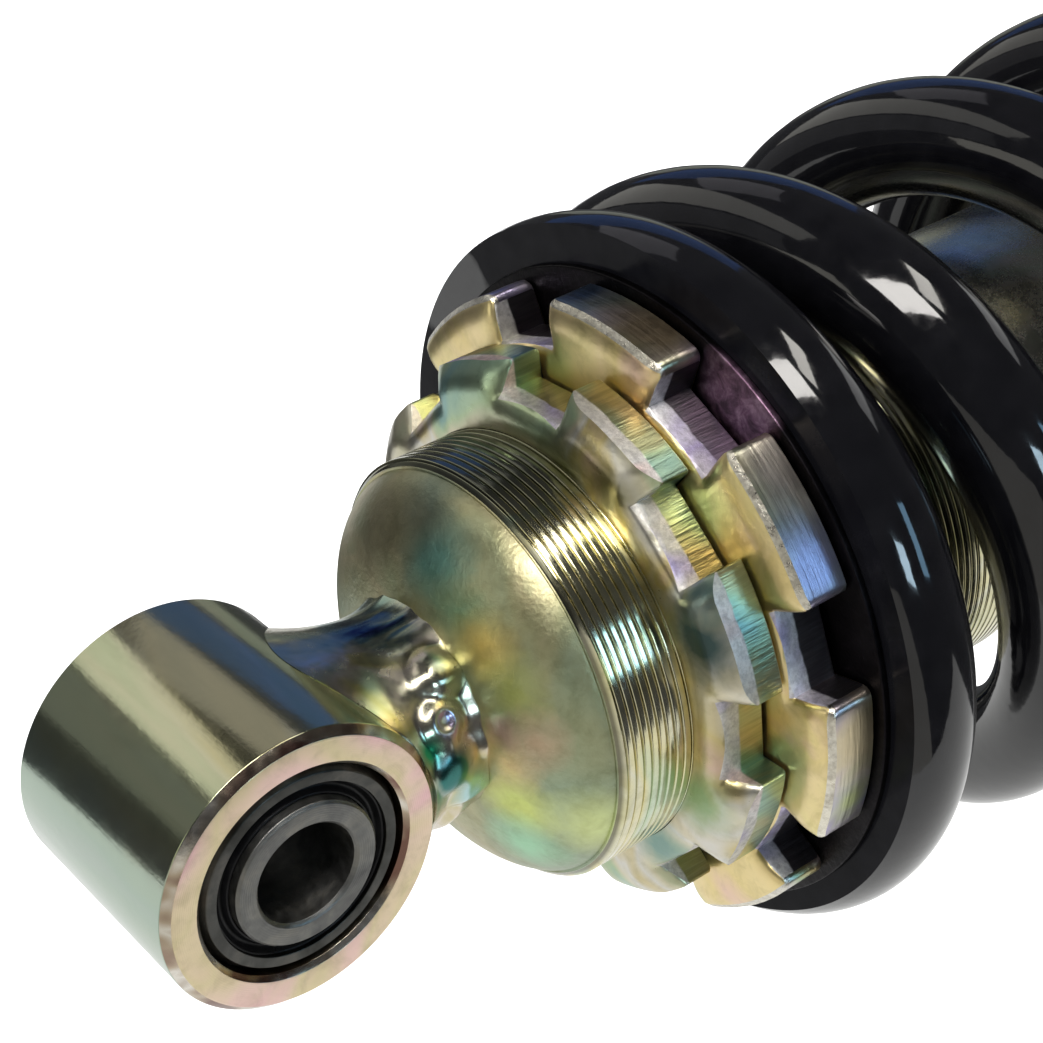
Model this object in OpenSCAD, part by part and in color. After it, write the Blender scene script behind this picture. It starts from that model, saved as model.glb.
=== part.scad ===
// Coil-over damper for a motorcycle or light vehicle: a monotube gas damper with
// an eye at each end, a threaded body, two castellated rings that set the preload
// and a closed, ground coil spring.
//
// Frame: the origin is the centre of the upper eye's bore.  +Z runs along the
// damper's axis towards the upper eye, so the damper hangs below it.  Both eye
// bores run along Y.  Everything is drawn at full extension.

/* [Overall] */
// Distance between the two eye centres at full extension
eye_to_eye = 300; // [298:1:304]
// Travel of the rod before the bump stop is reached
stroke = 52; // [30:1:52]

/* [Eyes and bushes] */
// Outside diameter of both eye tubes
eye_d = 30; // [29:0.5:31]
// Length of both eye tubes
eye_len = 26.8; // [24:0.2:30]
// Chamfer on the rims of the eye tubes
eye_chamfer = 0.85; // [0.3:0.05:1.2]
// Outside diameter of the rubber bushes
bush_d = 22.2; // [21.6:0.1:22.8]
// Wall of the outer bush sleeve
bush_wall = 1.9; // [1.5:0.1:2]
// How far the outer sleeve sits back from the eye's rim
bush_recess = 0.5; // [0.3:0.1:2]
// Outside diameter of the inner sleeve
sleeve_d = 15.3; // [14.5:0.1:16]
// Bore of the inner sleeve, clearance for an M10 bolt
sleeve_bore = 10.5; // [10.2:0.1:11]
// Length of the inner sleeve
sleeve_len = 27.4; // [27:0.2:31]

/* [Damper body] */
// Major diameter of the body thread
thread_d = 45.9; // [45.7:0.1:46.1]
// Pitch of the body thread
thread_pitch = 1; // [0.8:0.1:1.5]
// Depth of the body thread
thread_depth = 0.55; // [0.4:0.05:0.6]
// Height of the upper end of the thread
thread_top = -29.5; // [-31:0.5:-29]
// Length of the thread
thread_len = 58; // [50:1:70]
// Diameter of the plain body below the thread and of the domed end
body_d = 44.6; // [44.2:0.1:44.8]
// Bore of the body
bore_d = 38; // [37:0.5:38.5]
// Height of the lower end of the body
body_end = -176; // [-177:0.5:-175]
// Diameter of the piston rod
rod_d = 14; // [13:0.5:14]

/* [Preload rings] */
// Number of spanner slots in each ring
slots = 8; // [6:1:10]
// Width of the spanner slots
slot_w = 9.3; // [8:0.1:10]
// Outside diameter of the lock ring
lock_d = 59.4; // [58:0.2:60]
// Outside diameter of the adjuster ring
adj_d = 69.2; // [68:0.2:71]
// Turn of the lock ring's slots about the axis
lock_turn = 138.9; // [0:0.1:180]
// Turn of the adjuster ring's slots about the axis
adj_turn = 154.5; // [0:0.1:180]

/* [Spring] */
// Wire diameter
wire_d = 13.2; // [12:0.1:13.2]
// Mean diameter of the coils
coil_d = 67.2; // [67.2:0.2:68]
// Number of turns, tip to tip
coil_turns = 7.7; // [6.5:0.1:7.8]
// Direction of the upper wire tip about the axis
tip_turn = 275; // [0:1:360]

/* [Hidden] */
$fn = 96;

lower_z = -eye_to_eye;
eye_r = eye_d / 2;
body_r = body_d / 2;
bore_r = bore_d / 2;
rod_r = rod_d / 2;
crest_r = thread_d / 2;
root_r = crest_r - thread_depth;
ring_bore_r = crest_r + 0.05;
thread_end = thread_top - thread_len;
thread_n = floor(thread_len / thread_pitch);
cap_end = body_end - 3.4;
bump_top = cap_end - stroke - 0.6;
spring_top = -52.2;
spring_end = -260;

// Domed end: an ellipse that turns from the body's side to a flat landing
dome_z = -31;
dome_h = 9.8;
dome_a = [0, 8, 16, 24, 32, 40, 46, 52, 57, 62];
function dome(a) = [body_r * cos(a), dome_z + dome_h * sin(a)];
land = dome(62);

zinc = "#b9b38a";
zinc_dark = "#8f8a6a";
steel = "#8b8d90";
dark_steel = "#4a4b4d";
rubber = "#161616";
black = "#0c0c0e";
alloy = "#b4b6ba";
bronze = "#a5793d";

// A ring of the given inner and outer radius between two heights
module ring(ri, ro, z1, z0) {
    translate([0, 0, z0]) difference() {
        cylinder(r = ro, h = z1 - z0);
        translate([0, 0, -1]) cylinder(r = ri, h = z1 - z0 + 2);
    }
}

// A solid of revolution from [radius, height] points
module lathe(points) {
    rotate_extrude() polygon(points);
}

// Turns a solid drawn along Z so that it lies along Y at the given height
module along_y(z) {
    translate([0, 0, z]) rotate([90, 0, 0]) children();
}

// Eye tube with chamfered rims
module eye_tube(z) {
    h = eye_len / 2;
    c = eye_chamfer;
    b = bush_d / 2;
    along_y(z) lathe([[b, -h + 0.5], [b + 0.5, -h], [eye_r - c, -h], [eye_r, -h + c], [eye_r, h - c],
        [eye_r - c, h], [b + 0.5, h], [b, h - 0.5]]);
}

// The eye's envelope, cut away from whatever is welded to it
module eye_cut(z) {
    along_y(z) cylinder(r = eye_r, h = eye_len + 20, center = true);
}

// Outer sleeve of a bonded bush, with a long lead-in chamfer at both ends
module bush_sleeve(z) {
    h = eye_len / 2 - bush_recess;
    b = bush_d / 2;
    along_y(z) lathe([[b - bush_wall, -h], [b - 1.05, -h], [b, -h + 1.1], [b, h - 1.1], [b - 1.05, h], [b - bush_wall, h]]);
}

// Rubber of a bonded bush, dished at both ends
module bush_rubber(z) {
    h = eye_len / 2 - bush_recess;
    ro = bush_d / 2 - bush_wall;
    ri = sleeve_d / 2 + 0.05;
    m = (ro + ri) / 2;
    along_y(z) lathe([[ri, -h + 0.3], [m, -h + 1.4], [ro, -h + 0.3], [ro, h - 0.3], [m, h - 1.4], [ri, h - 0.3]]);
}

// Inner sleeve that the mounting bolt clamps
module bush_inner(z) {
    h = sleeve_len / 2;
    ro = sleeve_d / 2;
    ri = sleeve_bore / 2;
    along_y(z) lathe([[ri, -h + 0.4], [ri + 0.4, -h], [ro - 0.4, -h], [ro, -h + 0.4], [ro, h - 0.4], [ro - 0.4, h],
        [ri + 0.4, h], [ri, h - 0.4]]);
}

module upper_bush_inner() { color(steel) bush_inner(0); }
module upper_bush_rubber() { color(rubber) bush_rubber(0); }
module upper_bush_sleeve() { color(steel) bush_sleeve(0); }
module upper_eye() { color(zinc) eye_tube(0); }
module lower_eye() { color(zinc) eye_tube(lower_z); }
module lower_bush_sleeve() { color(steel) bush_sleeve(lower_z); }
module lower_bush_rubber() { color(rubber) bush_rubber(lower_z); }
module lower_bush_inner() { color(steel) bush_inner(lower_z); }

// Short stub between the domed end and the eye
module upper_stub() {
    color(zinc) difference() {
        translate([0, 0, land[1]]) cylinder(r = 10, h = -land[1] - 6);
        eye_cut(0);
    }
}

// Weld collar round the stub, from the dome up to the eye
module upper_weld() {
    color("#c4c2b4") difference() {
        lathe([[10, land[1]], land, dome(57), dome(52), [12.5, land[1] + 1.7], [11.5, land[1] + 3.8],
            [11.9, land[1] + 6.8], [12.8, land[1] + 9.8], [13.4, -9.6], [13.2, -7], [10, -7]]);
        eye_cut(0);
    }
}

// Damper body: domed closed end, fine thread, plain bore and a circlip groove
module damper_case() {
    dome_pts = [for (i = [len(dome_a) - 1:-1:0]) dome(dome_a[i])];
    thread_pts = [for (i = [0:thread_n - 1], k = [0:3])
        let (z = thread_top - i * thread_pitch, p = thread_pitch)
        [k == 0 || k == 3 ? root_r : crest_r, z - p * [0.06, 0.42, 0.58, 0.94][k]]];
    outer = concat([[0, land[1]]], dome_pts, [[body_r, thread_top]], thread_pts,
        [[body_r, thread_end], [body_r, body_end + 0.6], [body_r - 0.6, body_end]]);
    inner = [[bore_r, body_end], [bore_r, -172.1], [bore_r + 1, -172.1], [bore_r + 1, -170.5], [bore_r, -170.5],
        [bore_r, -33.5], [13, -28], [0, -28]];
    color(zinc) lathe(concat(outer, inner));
}

// Spanner slots cut in a ring down to the floor radius
module spanner_slots(floor_r, turn) {
    for (i = [0:slots - 1]) rotate(turn + i * 360 / slots)
        translate([floor_r, -slot_w / 2, -56]) cube([20, slot_w, 22]);
}

// Upper, thinner ring that jams against the adjuster
module lock_ring() {
    r = lock_d / 2;
    color("#a9b08c") difference() {
        lathe([[ring_bore_r, -44.55], [r - 0.4, -44.55], [r, -44.15], [r, -40.1], [r - 0.4, -39.6], [26.6, -38.5],
            [24.4, -38.3], [23.6, -38.3], [ring_bore_r, -38.9]]);
        spanner_slots(26.2, lock_turn);
    }
}

// Lower, thicker ring that carries the spring through the collar
module adjuster_ring() {
    r = adj_d / 2;
    color("#c2b98a") difference() {
        lathe([[ring_bore_r, -51.1], [r - 0.5, -51.1], [r, -50.6], [r, -46.1], [r - 0.4, -45.7], [29.6, -44.9],
            [ring_bore_r, -44.9]]);
        spanner_slots(29.35, adj_turn);
    }
}

// Thrust washer between the adjuster and the spring, with a spigot inside the coil
module spring_collar() {
    s = (coil_d - wire_d) / 2 - 0.35;
    color("#7d6a78") lathe([[crest_r + 0.07, -51.4], [35.6, -51.4], [35.6, spring_top], [s, spring_top], [s, -60],
        [s - 1, -61], [crest_r + 0.07, -61]]);
}

// Height of the wire's centre below the ground face, u turns from the tip.  The
// first turn is nearly flat and lies just under the tip; the active pitch follows.
end_a = 0.5 * wire_d;
end_b = 3;
ramp_0 = 0.755;
ramp_w = 0.2;
function ramp(u) = let (x = min(1, max(0, (u - ramp_0) / ramp_w)))
    ramp_w * (pow(x, 3) - pow(x, 4) / 2) + max(0, u - ramp_0 - ramp_w);
function end_drop(u) = -0.28 * wire_d + end_a * (1 - exp(-u / 0.13)) + end_b * u;
spring_h = spring_top - spring_end;
active = (spring_h / 2 - end_drop(coil_turns / 2)) / ramp(coil_turns / 2);
function drop(u) = end_drop(u) + active * ramp(u);
function coil_z(u) = u <= coil_turns / 2 ? spring_top - drop(u) : spring_end + drop(coil_turns - u);

// Point k of the wire's section, y up: what lies past a ground face at height h
// above or below the centre is moved onto the flat that the face cuts
function cut(x, y, h) = let (c = sqrt(max(0, pow(wire_d / 2, 2) - h * h)))
    [min(c, max(-c, x)), h];
function section(x, y, up, low) = y > up ? cut(x, y, up) : y < low ? cut(x, y, low) : [x, y];

// Coil spring swept along its centre line and cut flat at both ends
module main_spring() {
    sides = 12;
    per_turn = 30;
    n = ceil(coil_turns * per_turn);
    rw = wire_d / 2;
    points = [for (i = [0:n]) let (u = i * coil_turns / n, a = tip_turn - 360 * u, z = coil_z(u),
        du = 0.01, uu = min(coil_turns - du, max(du, u)),
        slope = atan2(coil_z(uu - du) - coil_z(uu + du), 2 * du * PI * coil_d))
        for (k = [0:sides - 1]) let (b = 360 * k / sides,
            p = section(rw * cos(b), rw * sin(b), (spring_top - z) / cos(slope), (spring_end - z) / cos(slope)),
            rad = coil_d / 2 + p[0], along = p[1] * sin(slope))
            [rad * cos(a) - along * sin(a), rad * sin(a) + along * cos(a), z + p[1] * cos(slope)]];
    side_faces = [for (i = [0:n - 1], k = [0:sides - 1])
        let (a = i * sides + k, b = i * sides + (k + 1) % sides, c = b + sides, d = a + sides)
        each [[a, b, c], [a, c, d]]];
    caps = [[for (k = [sides - 1:-1:0]) k], [for (k = [0:sides - 1]) n * sides + k]];
    color(black) polyhedron(points = points, faces = concat(side_faces, caps), convexity = 20);
}

// Floating piston between the oil and the gas, cupped on the oil side
module floating_piston() {
    color(alloy) lathe([[0, -52], [18, -52], [bore_r - 0.06, -53], [bore_r - 0.06, -56.2], [16.7, -56.2], [16.7, -58.8],
        [bore_r - 0.06, -58.8], [bore_r - 0.06, -62.5], [18, -63.5], [14, -63.5], [13, -57], [0, -57]]);
}
module floating_piston_seal() {
    color(rubber) translate([0, 0, -57.5]) rotate_extrude() translate([17.83, 0]) circle(r = 1.12, $fn = 32);
}

module piston_nut() {
    color(steel) difference() {
        translate([0, 0, -129]) cylinder(d = 17 / cos(30), h = 6, $fn = 6);
        translate([0, 0, -130]) cylinder(r = 5, h = 8);
    }
}
// Stack of thin discs, widest against the piston
module shim_stack(z, dir) {
    for (i = [0:3]) let (a = z + dir * i * 0.45, b = z + dir * (i + 1) * 0.45)
        ring(5, 15 - 2 * i, max(a, b), min(a, b));
}
module rebound_shims() { color(steel) shim_stack(-130.8, 1); }
module compression_shims() { color(steel) shim_stack(-144.8, -1); }
module piston() {
    color(dark_steel) difference() {
        lathe([[5, -144.8], [18.2, -144.8], [18.6, -144.4], [18.6, -140.8], [17.4, -140.8], [17.4, -134.8],
            [18.6, -134.8], [18.6, -131.2], [18.2, -130.8], [5, -130.8]]);
        for (i = [0:5]) rotate(i * 60) translate([10.5, 0, -146]) cylinder(r = 2.2, h = 17);
    }
}
module piston_band() { color(bronze) ring(17.4, bore_r - 0.04, -134.8, -140.8); }
module shim_washer() { color(steel) ring(5, 9.5, -146.6, -148.2); }

// Piston rod: threaded stud, ground shank, lower thread
module piston_rod() {
    color("#c9ccd0") lathe([[0, -121], [4.5, -121], [5, -121.5], [5, -148.2], [rod_r - 0.4, -148.2], [rod_r, -148.6],
        [rod_r, -249], [6, -249], [6, -275.5], [5.4, -276.2], [0, -276.2]]);
}
module rebound_bumper() {
    color(rubber) lathe([[rod_r, -148.8], [9.5, -148.8], [11.5, -150], [11.5, -154], [9.5, -155.1], [rod_r, -155.1]]);
}

// Rod guide that closes the body, with its bush, seals and circlip
module rod_guide() {
    color(alloy) lathe([[8.5, -155.4], [bore_r - 1, -155.4], [bore_r, -156.4], [bore_r, -160.1], [bore_r - 1.7, -160.1],
        [bore_r - 1.7, -162.3], [bore_r, -162.3], [bore_r, -169.6], [bore_r - 0.8, -170.4], [12, -170.4], [12, -165.2], [8.5, -165.2]]);
}
module guide_bush() { color(bronze) ring(rod_r + 0.03, 8.5, -156, -165.2); }
module guide_oring() {
    color(rubber) translate([0, 0, -161.2]) rotate_extrude() translate([bore_r - 0.88, 0]) circle(r = 0.82, $fn = 32);
}
module oil_seal() {
    color(rubber) lathe([[rod_r + 0.03, -166.2], [rod_r + 1.2, -165.2], [12, -165.2], [12, -170.2], [rod_r + 0.6, -170.2],
        [rod_r + 0.03, -169.2]]);
}
module guide_circlip() {
    color(dark_steel) rotate(15) rotate_extrude(angle = 330) polygon([[17, -172], [bore_r + 0.9, -172], [bore_r + 0.9, -170.6], [17, -170.6]]);
}
module dust_cap() {
    color(zinc_dark) lathe([[10, body_end + 3], [bore_r, body_end + 3], [bore_r, body_end], [body_r, body_end],
        [body_r, body_end - 2], [body_r - 0.6, body_end - 2.6], [10, body_end - 2.6]]);
}
module rod_wiper() {
    color(rubber) lathe([[rod_r + 0.5, body_end + 3], [10, body_end + 3], [10, body_end - 2.6], [9, cap_end],
        [rod_r + 0.03, cap_end], [rod_r + 0.03, cap_end + 1], [rod_r + 0.5, cap_end + 1.8]]);
}

// Foam bump stop on its washer
module bump_stop() {
    h = bump_top + 249;
    color(rubber) lathe([for (p = [[rod_r, 0], [14.4, 0], [15.4, 0.09], [15, 0.28], [13.2, 0.42], [14.4, 0.56], [14, 0.73],
        [12.2, 0.84], [12.9, 0.92], [11.6, 1], [rod_r + 1, 1], [rod_r, 0.94]]) [p[0], -249 + h * p[1]]]);
}
module bump_washer() { color(steel) ring(6, 15.6, -249, -251); }
module rod_locknut() {
    color(steel) difference() {
        translate([0, 0, -258]) cylinder(d = 19 / cos(30), h = 7, $fn = 6);
        translate([0, 0, -259]) cylinder(r = 6, h = 9);
    }
}

// Lower spring seat: a pressed plate with a hub inside the coil
module lower_spring_seat() {
    s = (coil_d - wire_d) / 2 - 0.35;
    r = (coil_d + wire_d) / 2 + 0.8;
    color(zinc) lathe([[12.6, spring_end], [s - 3, spring_end], [s - 3, spring_end + 8], [s - 1, spring_end + 8],
        [s, spring_end + 7], [s, spring_end], [r - 2, spring_end], [r, spring_end - 1], [r, spring_end - 3], [r - 1, spring_end - 4],
        [12.6, spring_end - 4]]);
}

// Lower mount: boss for the rod, flange for the spring seat and neck to the eye
module lower_mount() {
    color(zinc) difference() {
        lathe([[6, -258], [12.4, -258], [12.4, -264], [20, -264], [20, -268.5], [13.5, -275], [11, -279], [11, lower_z + 6],
            [0, lower_z + 6], [0, -276.6], [6, -276.6]]);
        eye_cut(lower_z);
    }
}
module lower_weld() {
    color("#c4c2b4") difference() {
        lathe([[11, lower_z + 18.6], [11.8, lower_z + 18], [13.2, lower_z + 15], [13.5, lower_z + 10], [13.2, lower_z + 6.9],
            [11, lower_z + 6.9]]);
        eye_cut(lower_z);
    }
}

upper_bush_inner();
upper_bush_rubber();
upper_bush_sleeve();
upper_eye();
upper_stub();
upper_weld();
damper_case();
lock_ring();
adjuster_ring();
spring_collar();
main_spring();
floating_piston();
floating_piston_seal();
piston_nut();
rebound_shims();
piston();
piston_band();
compression_shims();
shim_washer();
piston_rod();
rebound_bumper();
rod_guide();
guide_bush();
guide_oring();
oil_seal();
guide_circlip();
dust_cap();
rod_wiper();
bump_stop();
bump_washer();
rod_locknut();
lower_spring_seat();
lower_mount();
lower_weld();
lower_eye();
lower_bush_sleeve();
lower_bush_rubber();
lower_bush_inner();
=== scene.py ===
import math

import bmesh
import bpy
from mathutils import Matrix, Vector, noise


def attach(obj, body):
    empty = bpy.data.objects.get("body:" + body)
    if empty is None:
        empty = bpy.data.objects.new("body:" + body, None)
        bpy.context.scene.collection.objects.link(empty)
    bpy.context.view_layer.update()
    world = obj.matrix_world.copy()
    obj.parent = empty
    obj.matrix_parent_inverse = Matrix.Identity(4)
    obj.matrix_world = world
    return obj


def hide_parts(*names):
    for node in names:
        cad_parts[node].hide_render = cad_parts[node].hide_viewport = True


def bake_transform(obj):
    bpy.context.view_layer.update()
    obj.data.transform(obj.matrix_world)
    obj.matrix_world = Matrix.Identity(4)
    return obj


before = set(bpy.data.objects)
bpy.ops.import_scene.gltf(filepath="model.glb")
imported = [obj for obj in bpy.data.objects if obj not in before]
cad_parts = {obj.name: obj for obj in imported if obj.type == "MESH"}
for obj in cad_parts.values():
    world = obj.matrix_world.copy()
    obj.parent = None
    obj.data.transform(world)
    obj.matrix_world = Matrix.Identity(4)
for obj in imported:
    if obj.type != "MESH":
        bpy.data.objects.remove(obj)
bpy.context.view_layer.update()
scene = bpy.context.scene
MM = 0.001
TAU = 2 * math.pi


# ---------------------------------------------------------------- materials

def lin(r, g, b):
    f = lambda c: c / 12.92 if c <= 0.04045 else ((c + 0.055) / 1.055) ** 2.4
    return (f(r), f(g), f(b), 1.0)


class Mat:
    """A node tree with a Principled shader, read in object coordinates."""

    def __init__(self, name):
        self.m = bpy.data.materials.new(name)
        self.m.use_nodes = True
        self.t = self.m.node_tree
        self.t.nodes.clear()
        self.out = self.add("ShaderNodeOutputMaterial")
        self.s = self.add("ShaderNodeBsdfPrincipled")
        self.link(self.s.outputs[0], self.out.inputs[0])
        self.co = self.add("ShaderNodeTexCoord").outputs["Object"]
        self.normal = None

    def add(self, kind):
        return self.t.nodes.new(kind)

    def link(self, a, b):
        self.t.links.new(a, b)

    def set(self, **kw):
        names = dict(metallic="Metallic", rough="Roughness", coat="Coat Weight", coat_rough="Coat Roughness",
                     color="Base Color", spec="Specular IOR Level", aniso="Anisotropic", sheen="Sheen Weight",
                     ior="IOR", coat_ior="Coat IOR")
        for k, v in kw.items():
            self.s.inputs[names[k]].default_value = v
        return self

    def mapped(self, scale=(1, 1, 1), rot=(0, 0, 0), loc=(0, 0, 0)):
        n = self.add("ShaderNodeMapping")
        n.inputs["Scale"].default_value = scale
        n.inputs["Rotation"].default_value = rot
        n.inputs["Location"].default_value = loc
        self.link(self.co, n.inputs["Vector"])
        return n.outputs[0]

    def noise(self, scale, detail=3, rough=0.55, distort=0.0, vec=None):
        n = self.add("ShaderNodeTexNoise")
        n.inputs["Scale"].default_value = scale
        n.inputs["Detail"].default_value = detail
        n.inputs["Roughness"].default_value = rough
        n.inputs["Distortion"].default_value = distort
        self.link(vec or self.co, n.inputs["Vector"])
        return n.outputs[0]

    def voronoi(self, scale, vec=None, feature="F1"):
        n = self.add("ShaderNodeTexVoronoi")
        n.feature = feature
        n.inputs["Scale"].default_value = scale
        self.link(vec or self.co, n.inputs["Vector"])
        return n.outputs["Distance"]

    def wave(self, scale, kind="BANDS", axis="Z", distort=0.0, detail=2, dscale=1.0, vec=None, profile="SIN"):
        n = self.add("ShaderNodeTexWave")
        n.wave_type = kind
        n.wave_profile = profile
        if kind == "BANDS":
            n.bands_direction = axis
        else:
            n.rings_direction = axis
        n.inputs["Scale"].default_value = scale
        n.inputs["Distortion"].default_value = distort
        n.inputs["Detail"].default_value = detail
        n.inputs["Detail Scale"].default_value = dscale
        self.link(vec or self.co, n.inputs["Vector"])
        return n.outputs["Fac"]

    def ramp(self, fac, stops, interp="LINEAR"):
        n = self.add("ShaderNodeValToRGB")
        n.color_ramp.interpolation = interp
        e = n.color_ramp.elements
        while len(e) > 1:
            e.remove(e[-1])
        for i, (p, c) in enumerate(stops):
            el = e[0] if i == 0 else e.new(p)
            el.position = p
            el.color = c if len(c) == 4 else (*c, 1)
        self.link(fac, n.inputs[0])
        return n.outputs[0]

    def map(self, fac, a0, a1, b0, b1):
        n = self.add("ShaderNodeMapRange")
        for k, v in zip((1, 2, 3, 4), (a0, a1, b0, b1)):
            n.inputs[k].default_value = v
        self.link(fac, n.inputs[0])
        return n.outputs[0]

    def math(self, op, a, b):
        n = self.add("ShaderNodeMath")
        n.operation = op
        for i, v in enumerate((a, b)):
            if isinstance(v, (int, float)):
                n.inputs[i].default_value = v
            else:
                self.link(v, n.inputs[i])
        return n.outputs[0]

    def mix(self, fac, a, b, mode="MIX"):
        n = self.add("ShaderNodeMix")
        n.data_type = "RGBA"
        n.blend_type = mode
        for sock, v in ((n.inputs[0], fac), (n.inputs[6], a), (n.inputs[7], b)):
            if isinstance(v, (int, float)):
                sock.default_value = v
            elif isinstance(v, tuple):
                sock.default_value = v
            else:
                self.link(v, sock)
        return n.outputs[2]

    def color(self, sock):
        self.link(sock, self.s.inputs["Base Color"])
        return self

    def rough(self, sock):
        self.link(sock, self.s.inputs["Roughness"])
        return self

    def bump(self, height, strength, distance):
        n = self.add("ShaderNodeBump")
        n.inputs["Strength"].default_value = strength
        n.inputs["Distance"].default_value = distance
        self.link(height, n.inputs["Height"])
        if self.normal is not None:
            self.link(self.normal, n.inputs["Normal"])
        self.normal = n.outputs[0]
        return self

    def done(self, coat_bump=True):
        if self.normal is not None:
            self.link(self.normal, self.s.inputs["Normal"])
            if coat_bump:
                self.link(self.normal, self.s.inputs["Coat Normal"])
        return self.m


GOLD = lin(0.80, 0.74, 0.54)
PALE = lin(0.82, 0.80, 0.70)
GREEN = lin(0.68, 0.76, 0.62)
TEAL = lin(0.54, 0.69, 0.67)
PINK = lin(0.82, 0.70, 0.68)
LAV = lin(0.72, 0.68, 0.82)
SILVER = lin(0.84, 0.83, 0.80)
OLIVE = lin(0.64, 0.61, 0.44)
BLUE = lin(0.54, 0.62, 0.80)


def zinc(name, stops, patch=80.0, rough=(0.15, 0.26), vec_scale=(1, 1, 1), loc=(0, 0, 0), grain=0.35, pits=True,
         tint=0.5, coat=0.35):
    """Yellow-passivated zinc plate: interference tints in soft patches over a fine-grained metal."""
    k = Mat(name)
    k.set(metallic=1.0, coat=coat, coat_rough=0.09)
    v = k.mapped(scale=vec_scale, loc=loc)
    big = k.noise(patch, 2.5, 0.5, 1.1, v)
    base = k.ramp(big, stops)
    small = k.noise(patch * 7, 4, 0.6, 0.4, v)
    mott = k.ramp(small, [(0.30, lin(0.78, 0.78, 0.70)), (0.52, lin(0.96, 0.96, 0.94)), (0.75, lin(1, 0.99, 0.97))])
    k.color(k.mix(tint, base, mott, "MULTIPLY"))
    fine = k.noise(2600, 3, 0.6)
    mid = k.noise(420, 3, 0.6)
    k.rough(k.map(k.math("ADD", k.math("MULTIPLY", fine, 0.45), k.math("MULTIPLY", mid, 0.55)), 0.3, 0.7, *rough))
    k.bump(k.noise(1500, 4, 0.62), grain, 0.00006)
    k.bump(k.noise(260, 2, 0.5), 0.22, 0.00012)
    if pits:
        p = k.voronoi(330)
        k.bump(k.ramp(p, [(0.0, (0, 0, 0, 1)), (0.09, (1, 1, 1, 1))]), 0.35, 0.00004)
    return k


def near(k, x, y, z, r0, r1, wobble=0.0025):
    """1 inside r0 of a point, 0 outside r1, with a wandering edge. Millimetres."""
    d = k.add("ShaderNodeVectorMath")
    d.operation = "DISTANCE"
    k.link(k.co, d.inputs[0])
    d.inputs[1].default_value = (x * MM, y * MM, z * MM)
    w = k.math("MULTIPLY", k.math("SUBTRACT", k.noise(260, 3, 0.6, 0.6), 0.5), wobble)
    return k.map(k.math("ADD", d.outputs["Value"], w), r0 * MM, r1 * MM, 1.0, 0.0)


EYE_STOPS = [(0.28, OLIVE), (0.38, GOLD), (0.46, PALE), (0.53, GREEN), (0.60, TEAL), (0.68, LAV), (0.78, PINK)]
DOME_STOPS = [(0.26, TEAL), (0.36, GREEN), (0.43, OLIVE), (0.50, GOLD), (0.57, PINK), (0.63, OLIVE), (0.70, GREEN), (0.80, PALE)]
RING_STOPS = [(0.26, TEAL), (0.36, GREEN), (0.46, PALE), (0.55, GOLD), (0.64, PALE), (0.74, PINK)]

# drawn eye tube: tints run in streaks along the tube
k = zinc("zinc_eye_tube", EYE_STOPS, patch=70, vec_scale=(1, 0.16, 1), rough=(0.12, 0.20), grain=0.16, loc=(0.013, 0.0, 0.021), pits=False)
calm = k.mix(0.62, k.s.inputs["Base Color"].links[0].from_socket, lin(0.72, 0.72, 0.60))
# the top of the upper tube turns mint: a painted reflection of the pale table below it
height = k.add("ShaderNodeSeparateXYZ")
k.link(k.co, height.inputs[0])
level = k.math("ADD", height.outputs[2], k.math("MULTIPLY", k.math("SUBTRACT", k.noise(120, 2, 0.5, 0.4), 0.5), 0.003))
k.color(k.mix(k.map(level, 0.0122, 0.0140, 0.0, 0.8), calm, lin(0.66, 0.73, 0.68)))
k.bump(k.noise(900, 3, 0.6, 0, k.mapped(scale=(1, 0.03, 1))), 0.20, 0.00005)
M_EYE = k.done()

# turned faces of the eyes
k = zinc("zinc_eye_face", [(0.28, lin(0.97, 0.80, 0.82)), (0.40, lin(0.95, 0.84, 0.78)), (0.5, lin(0.91, 0.85, 0.70)), (0.58, lin(0.95, 0.85, 0.78)), (0.70, lin(0.97, 0.79, 0.82))], patch=55, rough=(0.34, 0.46), grain=0.14, pits=False, coat=0.1)
k.bump(k.wave(1450, "RINGS", "Y", 1.2, 2, 3.0), 0.22, 0.00003)
M_EYE_FACE = k.done()

# rims and bore mouths of the eyes: polished by the tool, browned in places
k = Mat("zinc_eye_rim")
k.set(metallic=1.0)
k.color(k.ramp(k.noise(150, 2, 0.5, 0.6), [(0.36, lin(0.50, 0.38, 0.34)), (0.46, lin(0.72, 0.66, 0.58)), (0.56, lin(0.88, 0.86, 0.82)), (0.7, lin(0.60, 0.52, 0.44))]))
k.rough(k.map(k.noise(900, 3, 0.6), 0.3, 0.7, 0.16, 0.28))
k.bump(k.noise(700, 3, 0.6), 0.3, 0.00006)
M_EYE_RIM = k.done()

k = zinc("zinc_dome", DOME_STOPS, patch=48, rough=(0.36, 0.48), grain=0.95, loc=(0.004, 0.018, 0.0), coat=0.18)
M_DOME_LOW = k.done()

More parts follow.
